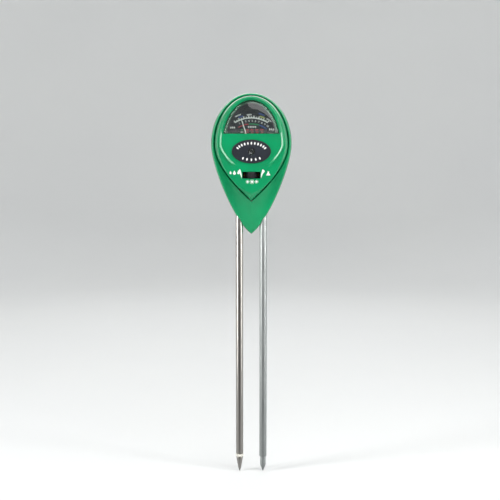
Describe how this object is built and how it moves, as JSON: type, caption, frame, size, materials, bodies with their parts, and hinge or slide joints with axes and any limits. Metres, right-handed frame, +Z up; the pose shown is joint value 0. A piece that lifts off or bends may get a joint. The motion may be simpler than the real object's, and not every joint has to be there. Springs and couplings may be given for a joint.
{
  "type": "soil moisture meter",
  "caption": "Handheld analogue soil meter: egg-shaped two-shell head with dial window, oval label, light window and slide switch, on two metal probes.",
  "frame": {"origin": "midway between the two probe points, where the soil holds the meter", "axes": "+Z up along the probes to the head, -Y out of the dial face, +X to the reader's right"},
  "size_m": [0.06, 0.034, 0.29],
  "materials": {
    "green_case": "glossy moulded ABS",
    "clear_window": "clear moulded polystyrene, polished",
    "label_black": null,
    "dial_black": "satin black enamel with printed scales",
    "pointer_white": "white enamel",
    "switch_black": "moulded, ribbed",
    "white_moulding": "moulded nylon",
    "probe_nickel": "polished nickel plate",
    "probe_aluminium": "drawn, satin",
    "zinc_steel": "zinc-plated sheet and screws",
    "soft_iron": "turned, dull",
    "magnet_alloy": "ground magnet alloy",
    "brass": "turned or stamped",
    "spring_bronze": "rolled phosphor bronze",
    "copper_winding": "enamelled copper wire",
    "coil_aluminium": "folded foil former",
    "laminate": "phenolic paper laminate",
    "photocell": "dark cell under glass",
    "resistor_lacquer": "lacquered body with bare leads",
    "wire_red": "PVC insulation",
    "wire_black": "PVC insulation",
    "wire_green": "PVC insulation",
    "wire_yellow": "PVC insulation"
  },
  "bodies": {
    "case": {"rear_shell": "green_case", "front_shell": "green_case", "dial_window": "clear_window", "face_label": "label_black", "light_window": "clear_window", "photocell": "photocell", "switch_can": "zinc_steel", "switch_board": "laminate", "switch_terminal_1": "brass", "switch_terminal_2": "brass", "switch_terminal_3": "brass", "switch_terminal_4": "brass", "switch_screw_left": "zinc_steel", "switch_screw_right": "zinc_steel", "dial_plate": "dial_black", "dial_screw_left": "zinc_steel", "dial_screw_right": "zinc_steel", "movement_frame": "white_moulding", "movement_screw_left": "zinc_steel", "movement_screw_right": "zinc_steel", "core_magnet": "magnet_alloy", "yoke_ring": "soft_iron", "core_spacer_upper": "coil_aluminium", "core_spacer_lower": "coil_aluminium", "front_bridge": "zinc_steel", "bridge_screw_left": "zinc_steel", "bridge_screw_right": "zinc_steel", "front_jewel_screw": "brass", "rear_jewel_screw": "brass", "front_hairspring": "spring_bronze", "rear_hairspring": "spring_bronze", "case_screw_left": "zinc_steel", "case_screw_right": "zinc_steel", "case_screw_lower": "zinc_steel", "probe_left": "probe_nickel", "probe_right": "probe_aluminium", "probe_tip_left": "probe_nickel", "probe_tip_right": "probe_aluminium", "tip_collar_left": "white_moulding", "probe_holder": "white_moulding", "probe_tag_left": "brass", "probe_tag_right": "brass", "probe_nut_left": "brass", "probe_nut_right": "brass", "moisture_resistor": "resistor_lacquer", "resistor_wire": "wire_green", "probe_wire": "wire_red", "cell_wire_plus": "wire_yellow", "cell_wire_minus": "wire_black", "meter_wire": "wire_red", "common_wire": "wire_black"},
    "switch_slider": {"switch_knob": "switch_black", "switch_wiper": "brass"},
    "meter_pointer": {"pointer": "pointer_white", "pointer_weight": "brass", "coil_former": "coil_aluminium", "coil_winding": "copper_winding", "front_pivot": "zinc_steel", "rear_pivot": "zinc_steel"}
  },
  "joints": [
    {"name": "switch_slide", "type": "slide", "parent": "case", "child": "switch_slider", "axis": [1, 0, 0], "range_m": [-0.0035, 0.0035]},
    {"name": "pointer_swing", "type": "hinge", "parent": "case", "child": "meter_pointer", "pos_m": [0, 0, 0.248], "axis": [0, 1, 0], "range_deg": [-15, 51], "stiffness_Nm_per_rad": 0.0005, "deforming": ["front_hairspring", "rear_hairspring"]}
  ]
}
